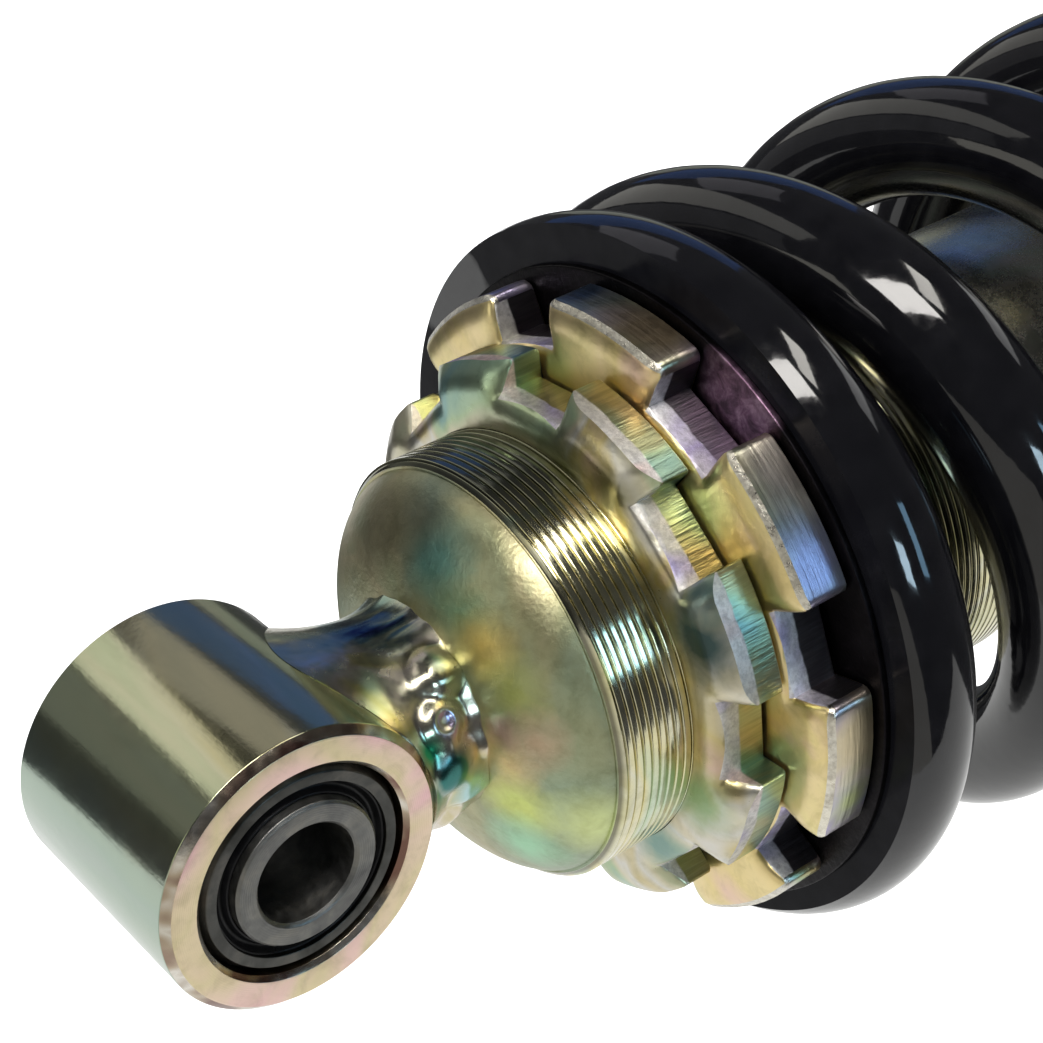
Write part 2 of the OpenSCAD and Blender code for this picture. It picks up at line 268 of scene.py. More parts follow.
k = zinc("zinc_dome_upper", [(0.30, lin(0.62, 0.68, 0.58)), (0.48, lin(0.68, 0.68, 0.54)), (0.62, lin(0.74, 0.71, 0.57)), (0.76, lin(0.66, 0.70, 0.56))],
         patch=48, rough=(0.36, 0.48), grain=0.95, loc=(0.004, 0.018, 0.0), coat=0.18)
tone = k.s.inputs["Base Color"].links[0].from_socket
# patches of plate tint; the two dull grey-olive ones at the dome's edge are painted shade
for (x, y, z), r0, r1, c in (((-16.8, 1.2, -24.6), 1.5, 6.0, lin(0.46, 0.64, 0.60)), ((-13.5, 6.5, -24.0), 0.5, 4.5, lin(0.56, 0.70, 0.58)),
                             ((-11.5, 9.5, -23.6), 0.5, 4.5, lin(0.80, 0.72, 0.44)), ((-8.0, 13.5, -24.0), 0.5, 4.8, lin(0.72, 0.74, 0.46)),
                             ((-0.1, 12.8, -23.0), 0.2, 5.0, lin(0.90, 0.79, 0.58)), ((-20.1, -3.7, -27.1), 2.0, 6.5, lin(0.44, 0.48, 0.42)), ((-3.6, 12.9, -23.6), 0.2, 2.6, lin(0.74, 0.60, 0.56)), ((-3.6, 16.2, -24.8), 0.5, 4.4, lin(0.78, 0.69, 0.58)),
                             ((5.5, 14.0, -23.6), 1.0, 5.2, lin(0.80, 0.84, 0.50)), ((11.5, 13.5, -24.5), 1.0, 5.6, lin(0.64, 0.82, 0.68)),
                             ((6.0, 20.0, -28.0), 1.0, 6.0, lin(0.80, 0.84, 0.60)), ((-16.0, -8.0, -25.5), 2.0, 7.5, lin(0.60, 0.58, 0.46))):
    tone = k.mix(near(k, x, y, z, r0, r1, 0.003), tone, c)
k.color(k.mix(0.4, tone, k.ramp(k.noise(420, 4, 0.6, 0.4), [(0.30, lin(0.80, 0.80, 0.74)), (0.55, (1, 1, 1, 1))]), "MULTIPLY"))
M_DOME = k.done()

k = zinc("zinc_thread", [(0.3, lin(0.78, 0.78, 0.62)), (0.42, lin(0.86, 0.84, 0.68)), (0.5, lin(0.86, 0.85, 0.76)), (0.58, lin(0.88, 0.85, 0.68)), (0.7, lin(0.78, 0.84, 0.74))], patch=60, rough=(0.10, 0.17), grain=0.08, pits=False, coat=0.3)
flat = k.add("ShaderNodeVectorMath")
flat.operation = "LENGTH"
k.link(k.mapped(scale=(1, 1, 0)), flat.inputs[0])
# the thread roots are painted darker: painted shade in the grooves
root_shade = k.map(flat.outputs["Value"], 0.02252, 0.02284, 0.35, 1.0)
tone = k.add("ShaderNodeCombineColor")
for i in range(3):
    k.link(root_shade, tone.inputs[i])
shade = k.s.inputs["Base Color"].links[0].from_socket
# a darker patch on the upper thread: painted shade
shade = k.mix(near(k, -22.9, -1.2, -32.6, 4.0, 13.0, 0.004), shade, lin(0.46, 0.47, 0.40))
k.color(k.mix(1.0, shade, tone.outputs[0], "MULTIPLY"))
M_THREAD = k.done()

k = zinc("zinc_tube", [(0.3, lin(0.80, 0.80, 0.72)), (0.42, lin(0.86, 0.84, 0.72)), (0.5, SILVER), (0.58, lin(0.80, 0.84, 0.78)), (0.7, lin(0.86, 0.80, 0.80))], patch=45, rough=(0.22, 0.32), grain=0.2)
k.bump(k.wave(1100, "BANDS", "Z", 0.6, 2, 4.0), 0.12, 0.00003)
M_TUBE = k.done()

k = zinc("zinc_lock_front", [(0.28, TEAL), (0.38, GREEN), (0.47, PALE), (0.55, SILVER), (0.64, GOLD), (0.76, PINK)], patch=58, rough=(0.26, 0.38), grain=0.35, loc=(0.01, 0.0, 0.0), coat=0.3)
k.bump(k.noise(520, 3, 0.6), 0.3, 0.0001)
tone = k.s.inputs["Base Color"].links[0].from_socket
# darker patches on the front face: painted dark reflections, in the plate's tints
for (x, y, z), r0, r1, c in (((-12.6, 24.0, -38.3), 1.5, 5.5, lin(0.24, 0.32, 0.32)),
                             ((-18.3, 22.9, -38.3), 1.0, 4.5, lin(0.34, 0.46, 0.48)),
                             ((-22.3, 4.0, -38.3), 1.0, 5.0, lin(0.44, 0.46, 0.32)),
                             ((-22.5, 11.4, -38.3), 1.0, 4.0, lin(0.50, 0.48, 0.34)),
                             ((6.3, 24.0, -38.3), 1.0, 5.0, lin(0.56, 0.66, 0.48)),
                             ((16.3, 17.9, -38.3), 1.0, 5.0, lin(0.48, 0.60, 0.56))):
    tone = k.mix(near(k, x, y, z, r0, r1, 0.003), tone, c)
k.color(tone)
M_RING = k.done()

k = zinc("zinc_adjuster_front", [(0.28, lin(0.82, 0.78, 0.56)), (0.38, lin(0.92, 0.86, 0.62)), (0.50, lin(0.94, 0.86, 0.66)), (0.60, lin(0.92, 0.84, 0.60)), (0.74, lin(0.92, 0.78, 0.74))], patch=58, rough=(0.28, 0.40), grain=0.3, loc=(0.02, 0.0, 0.0), coat=0.3, pits=False)
k.bump(k.noise(700, 4, 0.6), 0.35, 0.00008)
M_FRONT = k.done()


def cut_face(name, split, front, rear, width=0.00012, wander=0.0009, lines="Z"):
    """Punched wall in two bands along Z: torn in front of the split height, sheared smooth behind it."""
    k = Mat(name)
    k.set(metallic=1.0)
    z = k.add("ShaderNodeSeparateXYZ")
    k.link(k.co, z.inputs[0])
    level = k.math("ADD", z.outputs[2], k.math("MULTIPLY", k.math("SUBTRACT", k.noise(210, 3, 0.6), 0.5), wander))
    f = k.map(level, split - width, split + width, 0.0, 1.0)
    along = k.mapped(scale=(1, 1, 0.06)) if lines == "Z" else k.mapped(scale=(0.08, 0.08, 1.0))
    grit = k.noise(1500, 5, 0.7, 0.2)
    stri = k.noise(2600, 3, 0.6, 0.0, along)
    a = k.mix(0.55, k.ramp(k.noise(90, 2, 0.5, 0.6), front), k.ramp(grit, [(0.32, lin(0.62, 0.61, 0.62)), (0.6, (1, 1, 1, 1))]), "MULTIPLY")
    b = k.mix(0.5, k.ramp(k.noise(90, 2, 0.5, 0.6), rear), k.ramp(stri, [(0.3, lin(0.66, 0.66, 0.66)), (0.65, (1, 1, 1, 1))]), "MULTIPLY")
    k.color(k.mix(f, b, a))
    k.rough(k.map(f, 0.0, 1.0, 0.30, 0.52))
    k.bump(k.mix(f, stri, k.noise(1000, 5, 0.72, 0.4)), 0.5, 0.00014)
    k.bump(k.noise(2600, 3, 0.6), 0.25, 0.00005)
    return k.done()


M_LOCK_CUT = cut_face("zinc_lock_cut", -0.04135, [(0.3, LAV), (0.45, SILVER), (0.6, lin(0.90, 0.89, 0.88)), (0.75, PINK)],
                      [(0.3, OLIVE), (0.42, GOLD), (0.55, GREEN), (0.68, TEAL), (0.8, GOLD)])
M_ADJ_CUT = cut_face("zinc_adjuster_cut", -0.04765, [(0.3, SILVER), (0.45, lin(0.92, 0.91, 0.92)), (0.6, LAV), (0.75, SILVER)],
                     [(0.3, lin(0.40, 0.37, 0.40)), (0.5, lin(0.52, 0.50, 0.52)), (0.7, lin(0.46, 0.44, 0.50))])

# turned rim of the adjuster: fine lines round it
k = zinc("zinc_adjuster_rim", [(0.28, BLUE), (0.37, LAV), (0.45, SILVER), (0.53, GREEN), (0.60, GOLD), (0.68, PINK), (0.76, LAV), (0.84, BLUE)], patch=52, rough=(0.28, 0.40), grain=0.2, pits=False, loc=(0.03, 0.01, 0.0), coat=0.2)
tone = k.s.inputs["Base Color"].links[0].from_socket
for (x, y, z), r0, r1, c in (((-19.4, 28.6, -48.3), 2.0, 6.0, lin(0.68, 0.67, 0.80)), ((-26.8, 21.9, -50.1), 2.0, 6.5, lin(0.84, 0.80, 0.76)),
                             ((-34.2, -5.1, -49.4), 1.0, 6.0, lin(0.34, 0.42, 0.54)), ((-34.2, 5.2, -48.8), 2.0, 6.5, lin(0.74, 0.66, 0.54)),
                             ((-2.3, 34.5, -49.3), 2.0, 7.0, lin(0.86, 0.80, 0.66)), ((5.5, 34.2, -48.5), 0.5, 3.5, lin(0.80, 0.84, 0.62))):
    tone = k.mix(near(k, x, y, z, r0, r1, 0.003), tone, c)
k.color(tone)
k.bump(k.noise(1500, 3, 0.65, 0.0, k.mapped(scale=(0.05, 0.05, 1.0))), 0.6, 0.00009)
M_OUTER = k.done()


def torn(name, stops, vec_scale, strength=0.8, rough=(0.28, 0.46)):
    """Broken or filed steel under the plate."""
    k = Mat(name)
    k.set(metallic=1.0)
    v = k.mapped(scale=vec_scale)
    k.color(k.mix(0.6, k.ramp(k.noise(90, 2, 0.5, 0.6), stops),
                  k.ramp(k.noise(1100, 4, 0.65, 0.3, v), [(0.3, lin(0.62, 0.60, 0.58)), (0.6, (1, 1, 1, 1))]), "MULTIPLY"))
    k.rough(k.map(k.noise(1700, 3, 0.6, 0, v), 0.3, 0.7, *rough))
    k.bump(k.noise(760, 5, 0.7, 0.5, v), strength, 0.00018)
    k.bump(k.noise(2600, 3, 0.6, 0, v), 0.4, 0.00006)
    return k.done()


M_EDGE = torn("zinc_worn_edge", [(0.3, SILVER), (0.6, lin(0.92, 0.90, 0.84)), (0.8, SILVER)], (1, 1, 1), 0.7, (0.24, 0.4))

# thrust washer: purple passivation over radial grinding marks, lit in one patch and painted near black elsewhere as
# shadow
k = Mat("zinc_purple_washer")
k.set(metallic=1.0)
plum = k.ramp(k.noise(500, 4, 0.65, 0.4), [(0.34, lin(0.28, 0.22, 0.27)), (0.50, lin(0.44, 0.34, 0.42)), (0.66, lin(0.60, 0.50, 0.58))])
# painted shadow: near black wherever the washer is not in the lit patch by the slot
painted_shadow_tone = k.ramp(k.noise(300, 3, 0.6), [(0.3, lin(0.07, 0.065, 0.075)), (0.7, lin(0.12, 0.11, 0.12))])
k.color(k.mix(near(k, -29.1, 14.8, -51.4, 4.0, 6.2, 0.002), painted_shadow_tone, plum))
k.rough(k.map(k.noise(1300, 3, 0.6), 0.3, 0.7, 0.34, 0.50))
k.bump(k.noise(900, 4, 0.65, 0.4), 0.6, 0.00012)
M_PURPLE = k.done()

# weld bead: bright, glassy lumps with heat tints
k = Mat("weld_metal")
k.set(metallic=1.0)


streaks = k.noise(420, 4, 0.6, 0.8, k.mapped(scale=(1, 1, 0.30)))
col = k.ramp(k.noise(110, 3, 0.5, 1.0), [(0.30, lin(0.50, 0.60, 0.56)), (0.42, lin(0.76, 0.76, 0.66)), (0.55, lin(0.86, 0.82, 0.76)), (0.66, lin(0.78, 0.74, 0.54)), (0.76, lin(0.60, 0.62, 0.50))])
navy = k.ramp(streaks, [(0.32, lin(0.14, 0.20, 0.36)), (0.42, lin(0.34, 0.46, 0.50)), (0.54, lin(0.62, 0.66, 0.58)), (0.66, lin(0.34, 0.44, 0.48))])
col = k.mix(near(k, -11.2, 0.0, -18.6, 2.6, 5.2), col, navy)
col = k.mix(near(k, -4.4, 11.4, -15.6, 0.6, 2.0, 0.001), col, lin(0.24, 0.80, 0.62))
col = k.mix(near(k, -1.2, 12.4, -17.6, 1.6, 3.4, 0.0015), col, lin(0.26, 0.48, 0.46))
col = k.mix(near(k, 2.8, 12.2, -20.6, 1.6, 3.6, 0.0015), col, lin(0.70, 0.82, 0.82))
col = k.mix(near(k, -6.2, 11.0, -18.6, 0.9, 1.9, 0.001), col, lin(0.84, 0.80, 0.94))
k.color(col)
k.rough(k.map(k.noise(500, 3, 0.6), 0.3, 0.7, 0.14, 0.30))
k.bump(k.noise(200, 2, 0.5, 0.8), 0.10, 0.0003)
k.bump(k.noise(900, 3, 0.6), 0.14, 0.00005)
M_WELD = k.done()

# gloss black powder coat with a faint orange peel
k = Mat("spring_powder_coat")
k.set(metallic=0.0, coat=0.5, coat_rough=0.035, spec=0.3)
k.color(k.ramp(k.noise(300, 3, 0.6), [(0.3, (0.0016, 0.0016, 0.0022, 1)), (0.7, (0.0034, 0.0034, 0.0042, 1))]))
k.rough(k.map(k.noise(900, 4, 0.6), 0.35, 0.75, 0.06, 0.15))
k.bump(k.noise(210, 2, 0.5), 0.10, 0.0004)
k.bump(k.noise(900, 2, 0.5), 0.05, 0.00008)
M_SPRING = k.done()

# ground end faces of the spring under the same coat, dull, with one glossy patch: a painted reflection
k = Mat("spring_ground_face")
k.set(metallic=0.0)
# specular only inside one patch, so the face reflects only there: a painted reflection
k.link(k.map(near(k, -22.4, -31.7, -52.2, 7.0, 8.0, 0.003), 0.0, 1.0, 0.04, 0.62), k.s.inputs["Specular IOR Level"])
k.color(k.ramp(k.noise(300, 3, 0.6), [(0.3, (0.0016, 0.0016, 0.0022, 1)), (0.7, (0.0034, 0.0034, 0.0042, 1))]))
k.rough(k.map(k.noise(900, 4, 0.6), 0.35, 0.75, 0.16, 0.26))
k.bump(k.noise(900, 3, 0.6), 0.12, 0.00008)
M_GROUND = k.done()

# bush steel: turned, oiled and dull
k = Mat("bush_steel")
k.set(metallic=1.0)
k.color(k.ramp(k.noise(260, 4, 0.6, 0.5), [(0.3, lin(0.36, 0.36, 0.36)), (0.55, lin(0.46, 0.46, 0.45)), (0.75, lin(0.54, 0.53, 0.50))]))
k.rough(k.map(k.noise(900, 3, 0.6), 0.3, 0.7, 0.34, 0.52))
k.bump(k.wave(1300, "RINGS", "Y", 1.0, 2, 2.0), 0.25, 0.00004)
k.bump(k.noise(1400, 3, 0.6), 0.4, 0.00005)
M_BUSH = k.done()

# outer sleeve of the bush, oiled darker
k = Mat("bush_outer_steel")
k.set(metallic=1.0)
k.color(k.ramp(k.noise(260, 4, 0.6, 0.5), [(0.3, lin(0.24, 0.24, 0.23)), (0.55, lin(0.32, 0.32, 0.31)), (0.75, lin(0.40, 0.39, 0.37))]))
k.rough(k.map(k.noise(900, 3, 0.6), 0.3, 0.7, 0.30, 0.46))
k.bump(k.noise(1400, 3, 0.6), 0.4, 0.00005)
M_BUSH_OUT = k.done()

# plain internal steel
k = Mat("ground_steel")
k.set(metallic=1.0)
k.color(k.ramp(k.noise(180, 3, 0.6), [(0.3, lin(0.52, 0.52, 0.53)), (0.7, lin(0.68, 0.68, 0.68))]))
k.rough(k.map(k.noise(1200, 3, 0.6), 0.3, 0.7, 0.24, 0.38))
k.bump(k.wave(1300, "RINGS", "Z", 1.0, 2, 2.0), 0.2, 0.00004)
M_STEEL = k.done()

# bush rubber, moulded
k = Mat("bush_rubber")
k.set(metallic=0.0, spec=0.18)
k.color(k.ramp(k.noise(400, 4, 0.6), [(0.3, (0.0016, 0.0016, 0.0020, 1)), (0.7, (0.0036, 0.0036, 0.0040, 1))]))
k.rough(k.map(k.noise(700, 4, 0.6), 0.3, 0.7, 0.26, 0.48))
k.bump(k.noise(520, 4, 0.6), 0.4, 0.00016)
M_RUBBER = k.done()

k = Mat("seal_rubber")
k.set(metallic=0.0, spec=0.45)
k.color(k.ramp(k.noise(500, 4, 0.6), [(0.3, (0.007, 0.007, 0.007, 1)), (0.7, (0.014, 0.014, 0.014, 1))]))
k.rough(k.map(k.noise(900, 4, 0.6), 0.3, 0.7, 0.42, 0.6))
k.bump(k.noise(1100, 3, 0.6), 0.3, 0.00008)
M_SEAL = k.done()

# urethane foam of the bump stop: closed cells with a moulded skin
k = Mat("bump_foam")
k.set(metallic=0.0, spec=0.3)
k.color(k.ramp(k.voronoi(1500), [(0.0, (0.022, 0.021, 0.018, 1)), (0.25, (0.050, 0.048, 0.042, 1)), (0.8, (0.062, 0.060, 0.052, 1))]))
k.rough(k.map(k.noise(800, 4, 0.6), 0.3, 0.7, 0.7, 0.9))
k.bump(k.voronoi(1500), 0.6, 0.00012)
M_FOAM = k.done()

# hard chrome of the rod
k = Mat("hard_chrome")
k.set(metallic=1.0)
k.color(k.ramp(k.noise(60, 2, 0.5), [(0.3, lin(0.86, 0.87, 0.88)), (0.7, lin(0.92, 0.92, 0.93))]))
k.rough(k.map(k.noise(1800, 3, 0.6, 0, k.mapped(scale=(1, 1, 0.4))), 0.3, 0.7, 0.045, 0.10))
k.bump(k.noise(2200, 2, 0.5, 0, k.mapped(scale=(1, 1, 4))), 0.06, 0.00002)
M_CHROME = k.done()

# turned aluminium, sintered iron, bronze-filled band
k = Mat("turned_aluminium")
k.set(metallic=1.0)
k.color(k.ramp(k.noise(150, 3, 0.6), [(0.3, lin(0.72, 0.73, 0.75)), (0.7, lin(0.82, 0.83, 0.84))]))
k.rough(k.map(k.noise(1000, 3, 0.6), 0.3, 0.7, 0.26, 0.40))
k.bump(k.wave(900, "BANDS", "Z", 0.4, 2, 2.0), 0.3, 0.00005)
M_ALLOY = k.done()
k = Mat("sintered_iron")
k.set(metallic=1.0)
k.color(k.ramp(k.noise(900, 5, 0.7), [(0.3, lin(0.26, 0.26, 0.27)), (0.7, lin(0.42, 0.42, 0.43))]))
k.rough(k.map(k.noise(1500, 4, 0.6), 0.3, 0.7, 0.45, 0.65))
k.bump(k.voronoi(2600), 0.5, 0.00008)
M_IRON = k.done()
k = Mat("bronze_band")
k.set(metallic=0.75)
k.color(k.ramp(k.noise(700, 4, 0.6), [(0.3, lin(0.58, 0.44, 0.24)), (0.7, lin(0.74, 0.58, 0.32))]))
k.rough(k.map(k.noise(900, 4, 0.6), 0.3, 0.7, 0.35, 0.5))
k.bump(k.noise(1600, 3, 0.6), 0.3, 0.00006)
M_BRONZE = k.done()

# pale paper floor
k = Mat("floor_paper")
k.set(metallic=0.0, spec=0.2, rough=0.8)
k.color(k.ramp(k.noise(3, 2, 0.5), [(0.3, (0.86, 0.86, 0.86, 1)), (0.7, (0.89, 0.89, 0.89, 1))]))
M_FLOOR = k.done()


# ---------------------------------------------------------------- mesh helpers (millimetres in, metres out)

def make(name, verts, faces, mats, findex=None, sharp=38.0, merge=True, recalc=True):
    me = bpy.data.meshes.new(name)
    me.from_pydata([(x * MM, y * MM, z * MM) for x, y, z in verts], [], faces)
    for m in mats:
        me.materials.append(m)
    if findex:
        me.polygons.foreach_set("material_index", findex)
    bm = bmesh.new()
    bm.from_mesh(me)
    if merge:
        bmesh.ops.remove_doubles(bm, verts=bm.verts, dist=2e-7)
        bmesh.ops.dissolve_degenerate(bm, edges=bm.edges, dist=1e-7)
    if recalc:
        bmesh.ops.recalc_face_normals(bm, faces=bm.faces)
    bm.to_mesh(me)
    bm.free()
    me.polygons.foreach_set("use_smooth", [True] * len(me.polygons))
    me.set_sharp_from_angle(angle=math.radians(sharp))
    me.update()
    ob = bpy.data.objects.new(name, me)
    scene.collection.objects.link(ob)
    return ob


def rounded(points, radius, seg=4, closed=True):
    """Rounds the corners of a polyline. A point may carry its own radius as a third value."""
    out, n = [], len(points)
    for i, p in enumerate(points):
        r = p[2] if len(p) > 2 else radius
        P = Vector(p[:2])
        if r <= 0 or (not closed and i in (0, n - 1)):
            out.append((P.x, P.y))
            continue
        A, B = Vector(points[i - 1][:2]), Vector(points[(i + 1) % n][:2])
        a, b = A - P, B - P
        la, lb = a.length, b.length
        if la < 1e-6 or lb < 1e-6:
            out.append((P.x, P.y))
            continue
        a, b = a / la, b / lb
        ang = math.acos(max(-1, min(1, a.dot(b))))
        if ang > math.radians(176):
            out.append((P.x, P.y))
            continue
        t = min(r / math.tan(ang / 2), 0.48 * la, 0.48 * lb)
        rr = t * math.tan(ang / 2)
        c = P + (a + b).normalized() * (rr / math.sin(ang / 2))
        s, e = P + a * t - c, P + b * t - c
        sweep = math.pi - ang
        for j in range(seg + 1):
            f = j / seg
            w0, w1 = math.sin((1 - f) * sweep) / math.sin(sweep), math.sin(f * sweep) / math.sin(sweep)
            q = c + s * w0 + e * w1
            out.append((q.x, q.y))
    return out


def lathe(name, profile, mats, n=160, axis="Z", z0=0.0, pick=None, sharp=38.0, bumpf=None):
    """Solid of revolution of a closed (radius, height) loop, about Z or about an axis along Y at height z0."""
    verts, faces, idx = [], [], []
    m = len(profile)
    for j in range(n):
        a = TAU * j / n
        c, s = math.cos(a), math.sin(a)
        for i, (r, h) in enumerate(profile):
            if bumpf:
                r, h = bumpf(r, h, a)
            verts.append((r * c, r * s, h) if axis == "Z" else (r * c, h, z0 + r * s))
    for j in range(n):
        k2 = (j + 1) % n
        for i in range(m):
            i2 = (i + 1) % m
            if profile[i][0] < 1e-6 and profile[i2][0] < 1e-6:
                continue
            faces.append((j * m + i, j * m + i2, k2 * m + i2, k2 * m + i))
            idx.append(pick(profile[i], profile[i2]) if pick else 0)
    return make(name, verts, faces, mats, idx, sharp)


def weighted(ob):
    w = ob.modifiers.new("weighted", "WEIGHTED_NORMAL")
    w.keep_sharp = True
    w.weight = 60
    return ob


# ---------------------------------------------------------------- eyes and their bushes

def eye(name, z0):
    b = 11.1
    loop = rounded([(b, -12.9, 0.05), (b + 0.5, -13.4, 0.12), (15 - 0.85, -13.4, 0.12), (14.985, -13.4 + 0.85, 0.18), (14.985, 13.4 - 0.85, 0.18),
                    (15 - 0.85, 13.4, 0.12), (b + 0.5, 13.4, 0.12), (b, 12.9, 0.05)], 0.1, 4)
    pick = lambda p, q: 0 if min(p[0], q[0]) > 14.93 else (1 if min(abs(p[1]), abs(q[1])) > 13.36 else 2)
    return lathe(name, loop, [M_EYE, M_EYE_FACE, M_EYE_RIM], 224, "Y", z0, pick, 50)


def bush(prefix, z0):
    b = 11.1
    h = 12.9
    sleeve = rounded([(b - 1.9, -h + 0.05, 0.08), (b - 1.84, -h, 0.08), (b - 0.78, -h, 0.2), (b - 0.05, -h + 1.3, 0.2), (b - 0.02, -h + 2.0, 0.1), (b - 0.02, h - 2.0, 0.1), (b - 0.05, h - 1.3, 0.2),
                      (b - 0.78, h, 0.2), (b - 1.84, h, 0.08), (b - 1.9, h - 0.05, 0.08)], 0.1, 4)
    s = lathe(prefix + "_outer", sleeve, [M_BUSH_OUT], 160, "Y", z0, sharp=50)
    ro, ri = b - 1.92, 15.3 / 2 + 0.06
    m = (ro + ri) / 2

    def lumpy(r, y, a):
        n = noise.noise(Vector((3 * math.cos(a), 3 * math.sin(a), y)))
        return (r, y + (0.10 * n if abs(abs(y) - h) < 1.8 else 0))
    rub = rounded([(ri, -h + 0.35, 0.1), (ri + 0.25, -h + 0.40, 0.15), (m, -h + 1.4, 0.45), (ro - 0.2, -h + 0.45, 0.15), (ro, -h + 0.35, 0.05),
                   (ro, h - 0.35, 0.05), (ro - 0.2, h - 0.45, 0.15), (m, h - 1.4, 0.45), (ri + 0.25, h - 0.40, 0.15), (ri, h - 0.35, 0.1)], 0.3, 4)
    r = lathe(prefix + "_rubber", rub, [M_RUBBER], 160, "Y", z0, sharp=60, bumpf=lumpy)
    L, R, I = 13.7, 15.3 / 2, 5.25
    inner = rounded([(I, -L + 0.35, 0.1), (I + 0.35, -L, 0.15), (R - 0.3, -L, 0.2), (R, -L + 0.3, 0.2), (R, L - 0.3, 0.2), (R - 0.3, L, 0.2),
                     (I + 0.35, L, 0.15), (I, L - 0.35, 0.1)], 0.1, 4)
    i = lathe(prefix + "_inner", inner, [M_BUSH], 160, "Y", z0, sharp=50)
    return s, r, i


# ---------------------------------------------------------------- castellated rings

def castle(name, bore, rim, floor, z_front, z_rear, half, half_out, turn, mats, roll_rim, roll_slot, roll_floor, chamfer, corner, slots=8):
    """Punched ring with flat-floored spanner slots.

    The front rolls off towards the rim and the slots: roll_* are (drop, reach). chamfer is the flat on the
    rim's front edge and corner the radius on the lugs' corners. Materials: front, rim, cut walls, edges.
    """
    step = TAU / slots
    hw = lambda r: half + (half_out - half) * min(1, max(0, (r - floor) / (rim - floor)))
    edge_r = math.hypot(floor, half)
    flat = rim - chamfer
    wobble = lambda a, s: noise.noise(Vector((9 * math.cos(a), 9 * math.sin(a), s)))

    def drop(r, a):
        """How far the front lies behind z_front."""
        rel = (a - math.radians(turn) + step / 2) % step - step / 2
        x, y = r * math.cos(rel), abs(r * math.sin(rel))
        dx, dy = max(0.0, floor - x), max(0.0, y - hw(r))
        d = math.hypot(dx, dy)
        t = min(1, max(0, (x - floor + 0.8) / 2.4))
        t = t * t * (3 - 2 * t)
        depth = roll_floor[0] + (roll_slot[0] - roll_floor[0]) * t
        reach = (roll_floor[1] + (roll_slot[1] - roll_floor[1]) * t) * (1 + 0.22 * wobble(a, 2.0))
        out = depth * max(0.0, 1 - d / reach) ** 2 + 0.22 * max(0.0, 1 - d / 0.45) ** 2
        do = max(0.0, flat - r)
        out += roll_rim[0] * max(0.0, 1 - do / (roll_rim[1] * (1 + 0.18 * wobble(a, 7.0)))) ** 2
        return out + 0.05 * wobble(a, 11.0)

    rs = [bore, bore + 0.4] + [bore + 0.4 + (floor - 0.9 - bore - 0.4) * i / 5 for i in range(1, 6)]
    rs += [floor - 0.45, floor - 0.2, floor] + [floor + (flat - floor) * i / 12 for i in range(1, 13)]
    if chamfer > 0.05:
        rs += [rim - chamfer * 0.5, rim]
    nf = len(rs)
    zs = 7                                           # steps down the rim
    columns = []
    for k0 in range(slots):
        base = math.radians(turn) + k0 * step
        for j in range(9):                           # slot floor
            x = -half + 2 * half * j / 8
            t = math.atan2(x, floor)
            fr = floor / math.cos(t)
            columns.append(("s", base + t, lambda r, t=t, base=base: base + t, fr))
        ds = [0.0, 0.18, 0.42, 0.75, 1.2, 1.8, 2.6, 3.6]
        width = step * rim - 2 * half_out
        mid = [width / 2 + (i - 2.5) / 5 * (width - 7.2) for i in range(6)]
        dist = [(d, 0) for d in ds[:-1]] + [(d, 0) for d in mid] + [(width - d, 1) for d in ds[:-1][::-1]]
        for d, side in dist:
            f = d / width
            near_wall = min(d, width - d)
            lim = rim if near_wall >= corner else rim - corner + math.sqrt(max(0.0, corner ** 2 - (corner - near_wall) ** 2))

            def ang(r, f=f, base=base):
                e = math.asin(hw(r) / max(r, edge_r))
                return base + e + (step - 2 * e) * f
            columns.append(("l", base, ang, lim))
    verts, tags = [], []
    m = None
    for kind, base, ang, lim in columns:
        col = []
        for r in rs:
            rr = min(r, lim)
            a = ang(rr)
            z = z_front - drop(rr, a)
            if r > flat and kind == "l":
                z -= (r - flat) * 0.95
            col.append((rr * math.cos(a), rr * math.sin(a), z))
        ze = col[-1][2]
        r_out = min(rim, lim)
        a = ang(r_out)
        for i in range(1, zs + 1):
            z = ze + (z_rear + 0.25 - ze) * i / zs
            col.append((r_out * math.cos(a), r_out * math.sin(a), z))
        ri = r_out - 0.25
        a2 = ang(ri)
        col.append((ri * math.cos(a2), ri * math.sin(a2), z_rear))
        a3 = ang(bore + 0.3)
        col.append(((bore + 0.3) * math.cos(a3), (bore + 0.3) * math.sin(a3), z_rear))
        a4 = ang(bore)
        col.append((bore * math.cos(a4), bore * math.sin(a4), z_rear + 0.3))
        m = len(col)
        verts += col
    faces, idx = [], []
    n = len(columns)
    for j in range(n):
        j2 = (j + 1) % n
        kinds = columns[j][0] + columns[j2][0]
        for i in range(m):
            i2 = (i + 1) % m
            faces.append((j * m + i, j * m + i2, j2 * m + i2, j2 * m + i))
            if i < nf - 1:
                if kinds != "ll" and rs[i2] > floor + 1e-6:
                    idx.append(2)
                elif rs[i2] > flat + 1e-6:
                    idx.append(3)
                else:
                    idx.append(0)
            elif i < nf - 1 + zs + 1:
                idx.append(2 if kinds != "ll" else 1)
            else:
                idx.append(0)
    ob = make(name, verts, faces, mats, idx, 36)
    return weighted(ob)


# ---------------------------------------------------------------- the pieces

pieces = {}

upper_eye = eye("eye_tube_upper", 0.0)
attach(upper_eye, "damper"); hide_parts("upper_eye")
lower_eye = eye("eye_tube_lower", -300.0)
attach(lower_eye, "rod"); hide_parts("lower_eye")

for where, z0, outer_body, inner_body in (("upper", 0.0, "damper", "upper_sleeve"), ("lower", -300.0, "rod", "lower_sleeve")):
    s, r, i = bush("bush_" + where, z0)
    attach(s, outer_body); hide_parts(where + "_bush_sleeve")
    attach(r, outer_body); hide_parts(where + "_bush_rubber")
    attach(i, inner_body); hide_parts(where + "_bush_inner")


